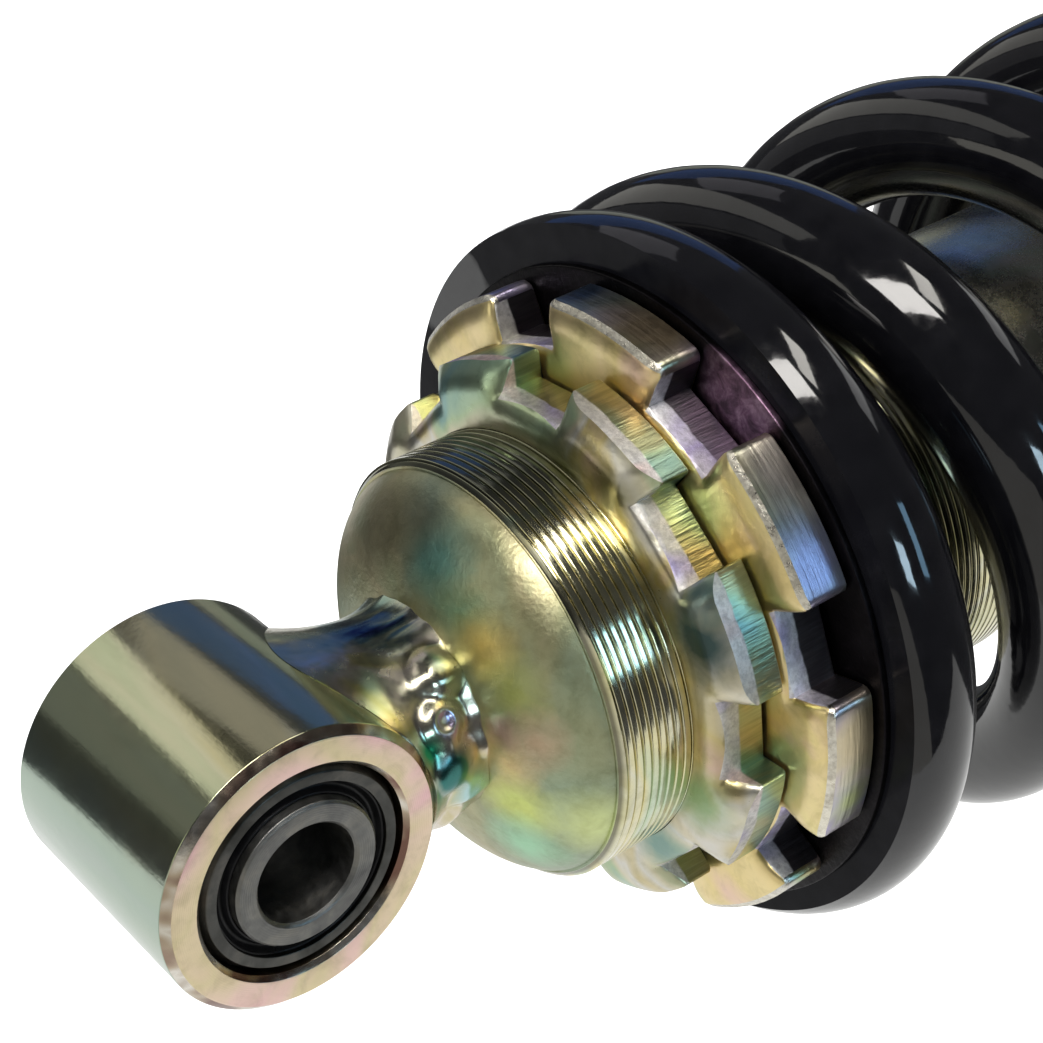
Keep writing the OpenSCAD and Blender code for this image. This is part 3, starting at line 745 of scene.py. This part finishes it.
def weld_patch(name, z_eye, up, r_foot, z_foot, waist, mats, seed, lumps, blobs=(), n=384, m=60):
    """Bead between a foot circle and an eye tube of radius 15 along Y. up is +1 where the eye is above the foot.

    blobs are (azimuth, height, amount, spread round, spread along, ripple) of single lumps, in degrees and millimetres.
    """
    verts, faces = [], []
    for j in range(n):
        a = TAU * j / n
        rf = r_foot(a)
        zf = z_foot(rf)
        re = 13.0 + 0.25 * noise.noise(Vector((2.2 * math.cos(a), 2.2 * math.sin(a), seed)))
        xe = re * math.cos(a)
        ze = z_eye - up * math.sqrt(max(0.0, 15.03 ** 2 - xe * xe))
        ctrl_r, ctrl_z = waist(a)
        for i in range(m):
            f = i / (m - 1)
            r = (1 - f) ** 2 * rf + 2 * f * (1 - f) * ctrl_r + f * f * re
            z = (1 - f) ** 2 * zf + 2 * f * (1 - f) * ctrl_z + f * f * ze
            fade = math.sin(math.pi * min(1, max(0, f))) ** 0.45
            x, y = math.cos(a) * r, math.sin(a) * r
            big = noise.noise(Vector((x * 0.20 + seed, y * 0.20, z * 0.22)))
            cell = noise.noise(Vector((x * 0.55, y * 0.55 + seed, z * 0.45)))
            rip = math.sin(z * 11 + 4 * cell) * max(0, 1 - abs(f - 0.84) / 0.16) * max(0.0, cell + 0.25)
            d = lumps(a) * (0.60 * big + 0.04 * cell + 0.02 * rip + 0.15)
            for ba, bz, amt, sa, sz, rp in blobs:
                da = (math.degrees(a) - ba + 180) % 360 - 180
                u, v = da / sa, (z - bz) / sz
                q = u * u + v * v
                if q < 9:
                    g = math.exp(-q * q / 1.6)
                    d += amt * g + (rp * math.cos(math.sqrt(q) * 13) * math.exp(-q) if rp else 0)
            r2 = r + fade * d
            verts.append((r2 * math.cos(a), r2 * math.sin(a), z))
    for j in range(n):
        j2 = (j + 1) % n
        for i in range(m - 1):
            faces.append((j * m + i, j * m + i + 1, j2 * m + i + 1, j2 * m + i))
    # closing skins inside the parts it is welded to
    c = len(verts)
    verts.append((0, 0, z_foot(0.0) - up * 0.6))
    verts.append((0, 0, z_eye - up * 13.0))
    for j in range(n):
        j2 = (j + 1) % n
        faces.append((j * m, j2 * m, c))
        faces.append((j * m + m - 1, c + 1, j2 * m + m - 1))
    return make(name, verts, faces, mats, None, 75)


def dome_z(r):
    r = min(r, 22.29)
    return -31 + 9.8 * math.sin(math.acos(max(0.0, min(1, r / 22.3)))) if r > 10.5 else -22.35


def foot(a):
    return 11.35 + 0.35 * noise.noise(Vector((1.6 * math.cos(a), 1.6 * math.sin(a), 4.0))) + 0.3 * noise.noise(Vector((5 * math.cos(a), 5 * math.sin(a), 1.0)))


BLOBS = ((142, -20.2, 1.25, 11, 2.1, 0.0), (119, -18.2, 1.15, 10, 2.1, 0.0), (120, -18.4, -0.40, 3.6, 0.9, 0.0),
         (97, -18.0, 1.0, 11, 2.3, 0.0), (77, -20.4, 1.0, 11, 2.0, 0.0), (50, -19.5, 0.6, 12, 2.0, 0.0))
upper_weld = weld_patch("weld_bead_upper", 0.0, 1, foot, lambda r: dome_z(r) - 0.05 if r > 1 else -22.6,
                        lambda a: (9.9 + 0.5 * math.cos(a - math.radians(60)), -18.7), [M_WELD], 3.7,
                        lambda a: 0.42 + 0.30 * math.cos(a - math.radians(85)), BLOBS)
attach(upper_weld, "damper"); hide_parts("upper_weld", "upper_stub")


def body_shell(name):
    """Domed body with a helical thread, a plain lower tube and an open bore."""
    N = 192
    per = 10
    pitch, z_top, z_end = 1.0, -29.5, -87.5
    crest, root, plain = 22.95, 22.50, 22.3
    shape = [0.0, 0.84, 0.97, 1.0, 1.0, 1.0, 1.0, 1.0, 0.97, 0.84]
    place = [0.0, 0.09, 0.15, 0.22, 0.36, 0.50, 0.64, 0.78, 0.85, 0.91]
    turns = int((z_top - z_end) / pitch)
    rows = []                                      # list of lists of (x,y,z), tag
    # dome, from the landing outwards
    for i in range(41):
        a = math.radians(62 - 62 * i / 40)
        rr, zz = 22.3 * math.cos(a), -31 + 9.8 * math.sin(a)
        if zz < z_top - 0.01:
            break
        rows.append(([(rr, zz)] * N, 0))
    rows.append(([(plain - 0.05, z_top + 0.12)] * N, 0))
    n_rows = (turns + 1) * per
    for i in range(n_rows + 1):
        row = []
        for j in range(N):
            z = z_top - (i // per + place[i % per]) * pitch + pitch * j / N
            zc = min(z_top, max(z_end, z))
            fade = min(1, max(0, (z_top - zc) / 0.5)) * min(1, max(0, (zc - z_end) / 1.0))
            rr = plain + (root - plain + (crest - root) * shape[i % per]) * fade
            row.append((rr, zc))
        rows.append((row, 1))
    for r, z in ((plain, z_end - 0.5), (plain, -175.4), (plain - 0.2, -175.85), (plain - 0.6, -176), (19.0, -176), (19.0, -120), (19.0, -60), (19.0, -34), (13, -28), (0.5, -28)):
        rows.append(([(r, z)] * N, 2))
    verts, faces, idx = [], [], []
    for row, tag in rows:
        for j, (r, z) in enumerate(row):
            a = TAU * j / N
            verts.append((r * math.cos(a), r * math.sin(a), z))
    for i in range(len(rows) - 1):
        threaded = rows[i][1] == 1 and rows[i + 1][1] == 1
        for j in range(N):
            if j < N - 1:
                q = (i * N + j, (i + 1) * N + j, (i + 1) * N + j + 1, i * N + j + 1)
            elif threaded or rows[i + 1][1] == 1 or rows[i][1] == 1:
                # the helix joins its own next turn
                ia, ib = i, i + 1
                sa = ia + per if rows[ia][1] == 1 else ia
                sb = ib + per if rows[ib][1] == 1 else ib
                last = 0
                while last < len(rows) and rows[last][1] != 2:
                    last += 1
                sa, sb = min(sa, last - 1) if rows[ia][1] == 1 else sa, min(sb, last - 1) if rows[ib][1] == 1 else sb
                q = (ia * N + j, ib * N + j, sb * N, sa * N)
            else:
                q = (i * N + j, (i + 1) * N + j, (i + 1) * N, i * N)
            faces.append(q)
            idx.append(1 if threaded else (0 if rows[i][1] == 0 else 2))
    # landing under the weld
    c = len(verts)
    verts.append((0, 0, rows[0][0][0][1]))
    for j in range(N):
        faces.append((c, j, (j + 1) % N))
        idx.append(0)
    # closed bore
    c = len(verts)
    verts.append((0, 0, -28))
    b = (len(rows) - 1) * N
    for j in range(N):
        faces.append((c, b + (j + 1) % N, b + j))
        idx.append(2)
    good = [(f, k2) for f, k2 in zip(faces, idx) if len(set(f)) == len(f)]
    return make(name, verts, [f for f, _ in good], [M_DOME, M_THREAD, M_TUBE], [k2 for _, k2 in good], 42)


body = body_shell("damper_body")
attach(body, "damper"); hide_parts("damper_case")

# lock ring
lock = castle("lock_ring_castellated", 23.0, 29.7, 26.2, -38.3, -44.55, 4.62, 4.68, 138.9, [M_RING, M_LOCK_CUT, M_LOCK_CUT, M_EDGE],
              (1.45, 3.3), (1.5, 3.3), (0.8, 2.3), 0.0, 0.35)
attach(lock, "lock_ring"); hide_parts("lock_ring")

# adjuster ring
adj = castle("adjuster_ring_castellated", 23.0, 34.6, 29.35, -44.9, -51.1, 4.5, 4.95, 154.5, [M_FRONT, M_OUTER, M_ADJ_CUT, M_EDGE],
             (0.55, 2.5), (0.6, 2.0), (0.5, 1.8), 0.6, 1.1)
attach(adj, "adjuster"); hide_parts("adjuster_ring")

# thrust washer under the adjuster, with the spigot that centres the spring
collar = lathe("thrust_washer", rounded([(23.02, -51.4), (35.6, -51.4, 0.2), (35.6, -52.2, 0.1), (26.65, -52.2), (26.65, -60, 0.3), (25.7, -61, 0.2), (23.02, -61)], 0.1, 3),
               [M_PURPLE], 224)
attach(collar, "collar"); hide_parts("spring_collar")

# ---------------------------------------------------------------- spring
WIRE, COIL, TURNS, TIP = 13.2, 67.2, 7.7, 275.0
TOP, END = -52.2, -260.0
RW = WIRE / 2


def ramp(u):
    x = min(1, max(0, (u - 0.755) / 0.2))
    return 0.2 * (x ** 3 - x ** 4 / 2) + max(0, u - 0.955)


def end_drop(u):
    return -0.28 * WIRE + 0.5 * WIRE * (1 - math.exp(-u / 0.13)) + 3 * u


ACTIVE = ((TOP - END) / 2 - end_drop(TURNS / 2)) / ramp(TURNS / 2)


def coil_z(u):
    if u <= TURNS / 2:
        return TOP - end_drop(u) - ACTIVE * ramp(u)
    return END + end_drop(TURNS - u) + ACTIVE * ramp(TURNS - u)


def section(u, sides, flat, shrink=1.0):
    """Points of the wire's section at u, starting on the cut chord if a ground face cuts it."""
    du = 0.004
    a0, a1 = max(0, u - du), min(TURNS, u + du)
    slope = math.atan2(coil_z(a0) - coil_z(a1), (a1 - a0) * math.pi * COIL)
    z = coil_z(u)
    rw = RW * shrink
    up, low = (TOP - z) * math.cos(slope), (z - END) * math.cos(slope)
    pts = []
    if up < rw:                                    # upper face cuts: chord at y = up
        phi = math.acos(max(-1, min(1, up / rw)))
        base, sgn, h = math.pi / 2, 1, up
    elif low < rw:
        phi = math.acos(max(-1, min(1, low / rw)))
        base, sgn, h = -math.pi / 2, -1, low
    else:                                          # free wire: the seam turns slowly from the top to the underside
        phi, sgn, h = 0.0, 0, rw
        base = math.pi / 2 + math.pi * min(1, max(0, (u - 1) / (TURNS - 2)))
    half = rw * math.sin(phi)
    for i in range(flat):                          # chord from one end to the other
        f = i / flat
        x = sgn * half * (1 - 2 * f)
        pts.append((x, sgn * h) if sgn else (rw * math.cos(base), rw * math.sin(base)))
    for i in range(sides):
        f = i / (sides - 1)
        b = base + phi + f * (TAU - 2 * phi)
        pts.append((rw * math.cos(b), rw * math.sin(b)))
    a = math.radians(TIP - 360 * u)
    out = []
    for x, y in pts:
        r = COIL / 2 + x
        out.append((r * math.cos(a), r * math.sin(a), z + y / math.cos(slope)))
    return out


def spring_piece(name, u0, u1, mats, sides=44, flat=6, per_turn=180):
    n = max(2, int(math.ceil((u1 - u0) * per_turn)))
    us = [u0 + (u1 - u0) * i / n for i in range(n + 1)]
    rings = [section(u, sides, flat) for u in us]
    cap_lo = cap_hi = False
    if u0 == 0:
        rings[0] = section(0.0, sides, flat, 0.93)
        rings.insert(1, section(0.0012, sides, flat))
    if u1 == TURNS:
        rings[-1] = section(TURNS, sides, flat, 0.93)
        rings.insert(-1, section(TURNS - 0.0012, sides, flat))
    m = sides + flat
    verts = [p for r in rings for p in r]
    faces, idx = [], []
    for j in range(len(rings) - 1):
        for i in range(m):
            i2 = (i + 1) % m
            faces.append((j * m + i, j * m + i2, (j + 1) * m + i2, (j + 1) * m + i))
            idx.append(1 if i < flat else 0)
    faces.append(tuple(range(m - 1, -1, -1)))
    faces.append(tuple((len(rings) - 1) * m + i for i in range(m)))
    ob = make(name, verts, faces, mats, idx + [0, 0], 24)
    return ob


U_JOIN = 1.9
z_join = coil_z(U_JOIN)
spring_a = spring_piece("spring_upper_coils", 0.0, U_JOIN, [M_SPRING, M_GROUND])
spring_b = spring_piece("spring_main_coils", U_JOIN, TURNS, [M_SPRING, M_GROUND])
for ob in (spring_a, spring_b):
    # the two pieces meet inside the wire: no skin there
    bm = bmesh.new()
    bm.from_mesh(ob.data)
    drop = [f for f in bm.faces if len(f.verts) > 12 and abs(f.calc_center_median().z - z_join * MM) < 1.5 * MM]
    bmesh.ops.delete(bm, geom=drop, context="FACES_ONLY")
    bm.to_mesh(ob.data)
    bm.free()
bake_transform(spring_a)
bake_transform(spring_b)
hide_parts("main_spring"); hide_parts("main_spring")

# ---------------------------------------------------------------- lower end
seat = lathe("spring_seat", rounded([(12.6, -260), (23.65, -260, 0.8), (23.65, -252, 0.5), (25.65, -252, 0.6), (26.65, -253, 0.5), (26.65, -260, 0.5), (38.6, -260, 0.8),
                                     (40.95, -261, 0.9), (40.95, -263, 0.5), (39.9, -264, 0.5), (12.6, -264)], 0.1, 4), [M_TUBE], 192)
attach(seat, "rod"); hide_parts("lower_spring_seat")

mount = lathe("lower_mount_boss", rounded([(6.02, -258), (12.4, -258, 0.3), (12.4, -264, 0.1), (20, -264, 0.5), (20, -268.5, 1.2), (13.5, -275, 3.0), (11, -279, 3.0), (11, -290),
                                           (0, -290), (0, -276.6), (6.02, -276.6)], 0.0, 5), [M_DOME_LOW], 160)
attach(mount, "rod"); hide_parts("lower_mount")


def foot_low(a):
    return 11.3 + 0.25 * noise.noise(Vector((2 * math.cos(a), 2 * math.sin(a), 9.0)))


lower_weld = weld_patch("weld_bead_lower", -300.0, -1, foot_low, lambda r: -281.6 if r > 1 else -281.0,
                        lambda a: (11.9, -284.6), [M_WELD], 11.3, lambda a: 0.42)
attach(lower_weld, "rod"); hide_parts("lower_weld")

stop_h = 17.0
bump = lathe("bump_stop_foam", rounded([(p[0], -249 + stop_h * p[1]) for p in [(7.02, 0), (14.4, 0), (15.4, 0.09), (15, 0.28), (13.2, 0.42), (14.4, 0.56), (14, 0.73),
             (12.2, 0.84), (12.9, 0.92), (11.6, 1), (8, 1), (7.02, 0.94)]], 0.9, 4), [M_FOAM], 128, sharp=70)
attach(bump, "rod"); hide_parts("bump_stop")

washer = lathe("bump_washer_plain", rounded([(6.05, -249), (15.6, -249, 0.4), (15.6, -251, 0.3), (6.05, -251)], 0.05, 3), [M_STEEL], 128)
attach(washer, "rod"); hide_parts("bump_washer")


def hex_nut(name, af, z_lo, z_hi, bore, mats):
    """Hexagon nut with 30 degree chamfers."""
    rc = af / 2 / math.cos(math.pi / 6)
    n = 96
    loop = []
    verts, faces = [], []
    hts = [z_lo, z_lo + 0.5, z_lo + 1.2, z_hi - 1.2, z_hi - 0.5, z_hi]
    for j in range(n):
        a = TAU * j / n
        seg = (a + math.pi / 6) % (math.pi / 3) - math.pi / 6
        hexr = af / 2 / math.cos(seg)
        lim = [af / 2 - 0.15, af / 2 + 0.45, rc, rc, af / 2 + 0.45, af / 2 - 0.15]
        col = [(bore, z_lo + 0.5), (bore + 0.5, z_lo)] + [(min(hexr, l), h) for l, h in zip(lim, hts)] + [(bore + 0.5, z_hi), (bore, z_hi - 0.5)]
        for r, z in col:
            verts.append((r * math.cos(a + math.pi / 6), r * math.sin(a + math.pi / 6), z))
    m = 10
    for j in range(n):
        j2 = (j + 1) % n
        for i in range(m):
            i2 = (i + 1) % m
            faces.append((j * m + i, j * m + i2, j2 * m + i2, j2 * m + i))
    return make(name, verts, faces, mats, None, 25)


nut = hex_nut("rod_locknut_hex", 19.0, -258.0, -251.0, 6.03, [M_THREAD])
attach(nut, "rod"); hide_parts("rod_locknut")

cap = lathe("dust_cap_pressed", rounded([(10, -173), (18.9, -173), (18.9, -176, 0.05), (22.3, -176, 0.3), (22.3, -178, 0.6), (21.7, -178.6, 0.6), (14, -178.6, 0.4), (13.4, -178.1, 0.4),
                                         (11.6, -178.1, 0.4), (11.0, -178.6, 0.4), (10, -178.6, 0.2)], 0.1, 4), [M_TUBE], 160)
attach(cap, "damper"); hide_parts("dust_cap")

# ---------------------------------------------------------------- carried-over CAD nodes keep their shape
keep = {"piston_rod": M_CHROME, "rod_guide": M_ALLOY, "guide_bush": M_BRONZE, "guide_oring": M_SEAL, "oil_seal": M_SEAL, "guide_circlip": M_STEEL, "rod_wiper": M_SEAL,
        "floating_piston": M_ALLOY, "floating_piston_seal": M_SEAL, "piston_nut": M_STEEL, "rebound_shims": M_STEEL, "piston": M_IRON, "piston_band": M_BRONZE,
        "compression_shims": M_STEEL, "shim_washer": M_STEEL, "rebound_bumper": M_SEAL}
for node, mat in keep.items():
    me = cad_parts[node].data
    if len(me.materials) == 0:
        me.materials.append(mat)
    for i in range(len(me.materials)):
        me.materials[i] = mat

# ---------------------------------------------------------------- floor, light and camera
me = bpy.data.meshes.new("floor")
bm = bmesh.new()
bmesh.ops.create_grid(bm, x_segments=8, y_segments=8, size=2.6)
bm.to_mesh(me)
bm.free()
me.materials.append(M_FLOOR)
floor = bpy.data.objects.new("floor", me)
floor.location = (0, 0, -0.3158)
scene.collection.objects.link(floor)

CAM = Vector((-0.14331, 0.15185, 0.07732))
RIGHT = Vector((0.0428, 0.6216, -0.7822)).normalized()
FWD = Vector((0.5596, -0.6635, -0.4966)).normalized()
RIGHT = (RIGHT - FWD * RIGHT.dot(FWD)).normalized()
UP = RIGHT.cross(FWD).normalized()
cam_data = bpy.data.cameras.new("camera")
cam_data.sensor_width = 36.0
cam_data.sensor_fit = "HORIZONTAL"
cam_data.lens = 36.0 * 2323.5 / 1043.0
cam_data.clip_start = 0.01
cam_data.clip_end = 30.0
cam = bpy.data.objects.new("camera", cam_data)
cam.matrix_world = Matrix(((RIGHT.x, UP.x, -FWD.x, CAM.x), (RIGHT.y, UP.y, -FWD.y, CAM.y), (RIGHT.z, UP.z, -FWD.z, CAM.z), (0, 0, 0, 1)))
scene.collection.objects.link(cam)
scene.camera = cam

TARGET = Vector((0.0, 0.0, -0.035))


def card(name, lon, lat, dist, w, h, power, color=(1, 1, 1), roll=0.0, spread=180.0, shift=0.0):
    """Soft area light seen from TARGET at lon/lat about the camera's axes: lon 0 is towards the camera, positive lat is up in the picture."""
    lo, la = math.radians(lon), math.radians(lat)
    d = RIGHT * (math.sin(lo) * math.cos(la)) + UP * math.sin(la) - FWD * (math.cos(lo) * math.cos(la))
    data = bpy.data.lights.new(name, "AREA")
    data.shape = "RECTANGLE"
    data.size, data.size_y = w, h
    data.energy = power
    data.color = color
    data.spread = math.radians(spread)
    ob = bpy.data.objects.new(name, data)
    z = d.normalized()                              # the light shines along its -Z
    x = UP.cross(z)
    if x.length < 0.05:
        x = RIGHT.copy()
    x.normalize()
    y = z.cross(x)
    m = Matrix(((x.x, y.x, z.x), (x.y, y.y, z.y), (x.z, y.z, z.z))) @ Matrix.Rotation(math.radians(roll), 3, "Z")
    ob.matrix_world = Matrix.Translation(TARGET + z * dist + x * shift) @ m.to_4x4()
    ob.visible_camera = False
    scene.collection.objects.link(ob)
    return ob


def sheet(name, lon, lat, dist, w, h, radiance, color=(1, 1, 1), roll=0.0, shift=0.0):
    return card(name, lon, lat, dist, w, h, radiance * math.pi * w * h, color, roll, shift=shift)


sheet("key", -6, 33, 0.75, 0.52, 0.17, 16.0, (1.0, 0.97, 0.93), 33)
sheet("key_tail", 37, 53, 0.75, 0.34, 0.10, 9.0, (1.0, 0.97, 0.90), 42)
sheet("window_a", 38, -8, 0.8, 0.15, 0.17, 13.0, (0.62, 0.84, 1.0), 12)
sheet("window_b", 63, 6, 0.8, 0.13, 0.26, 4.6, (0.38, 0.70, 1.0), 12)
sheet("left_wall", -92, 49, 0.9, 1.3, 0.34, 0.85, (1.0, 0.98, 0.90))
sheet("left_low", -95, 24, 0.95, 1.3, 0.40, 0.15)
sheet("left_front", -60, 0, 0.8, 0.34, 0.26, 1.4, (1.0, 0.97, 0.86))
sheet("top_card", -125, 72, 0.8, 0.34, 0.30, 0.38, (0.95, 0.93, 1.0))
sheet("sky_card", 178, 54, 0.8, 0.55, 0.30, 0.24, (0.08, 0.30, 1.0))
sheet("back_top", 172, 34, 0.9, 0.40, 0.20, 0.24, (0.95, 1.0, 0.85))
sheet("back_left", -160, 12, 1.0, 0.6, 0.30, 0.8)
sheet("rim_card", 110, 38, 0.9, 0.5, 0.12, 1.0)


def bed(name, height, left, right, near, far, radiance, color):
    """Bright table under the part as the camera holds it: a plane below TARGET, given by its edges."""
    data = bpy.data.lights.new(name, "AREA")
    data.shape = "RECTANGLE"
    data.size, data.size_y = right - left, far - near
    data.energy = radiance * math.pi * data.size * data.size_y
    data.color = color
    ob = bpy.data.objects.new(name, data)
    z, x = -UP, RIGHT
    y = z.cross(x)                                  # points away from FWD or along it; the sheet is symmetric
    c = TARGET - UP * height + RIGHT * (left + right) / 2 + FWD * (near + far) / 2
    ob.matrix_world = Matrix(((x.x, y.x, z.x, c.x), (x.y, y.y, z.y, c.y), (x.z, y.z, z.z, c.z), (0, 0, 0, 1)))
    ob.visible_camera = False
    ob.visible_diffuse = False
    scene.collection.objects.link(ob)
    return ob


bed("table", 0.20, -1.10, 0.75, -0.05, 1.6, 0.88, (1.0, 1.0, 0.98))
bed("table_front", 0.20, -0.90, 0.15, -0.45, -0.05, 0.60, (1.0, 0.97, 0.88))
floor.visible_glossy = False

over = bpy.data.lights.new("overhead", "AREA")
over.shape = "SQUARE"
over.size = 6.0
over.energy = 340
over_ob = bpy.data.objects.new("overhead", over)
over_ob.location = (0.3, -0.3, 2.2)
over_ob.visible_camera = False
over_ob.visible_glossy = False
scene.collection.objects.link(over_ob)

world = bpy.data.worlds.new("studio")
scene.world = world
world.use_nodes = True
wt = world.node_tree
sky = wt.nodes["Background"]
sky.inputs[0].default_value = (0.93, 0.95, 1.0, 1)
sky.inputs[1].default_value = 0.06
pale = wt.nodes.new("ShaderNodeBackground")
pale.inputs[0].default_value = (0.95, 0.95, 0.95, 1)
pale.inputs[1].default_value = 0.95
path = wt.nodes.new("ShaderNodeLightPath")
pick_sky = wt.nodes.new("ShaderNodeMixShader")
wt.links.new(path.outputs["Is Camera Ray"], pick_sky.inputs[0])
wt.links.new(sky.outputs[0], pick_sky.inputs[1])
wt.links.new(pale.outputs[0], pick_sky.inputs[2])
wt.links.new(pick_sky.outputs[0], wt.nodes["World Output"].inputs[0])
scene.view_settings.view_transform = "Standard"
scene.view_settings.look = "None"
scene.view_settings.exposure = 0.0
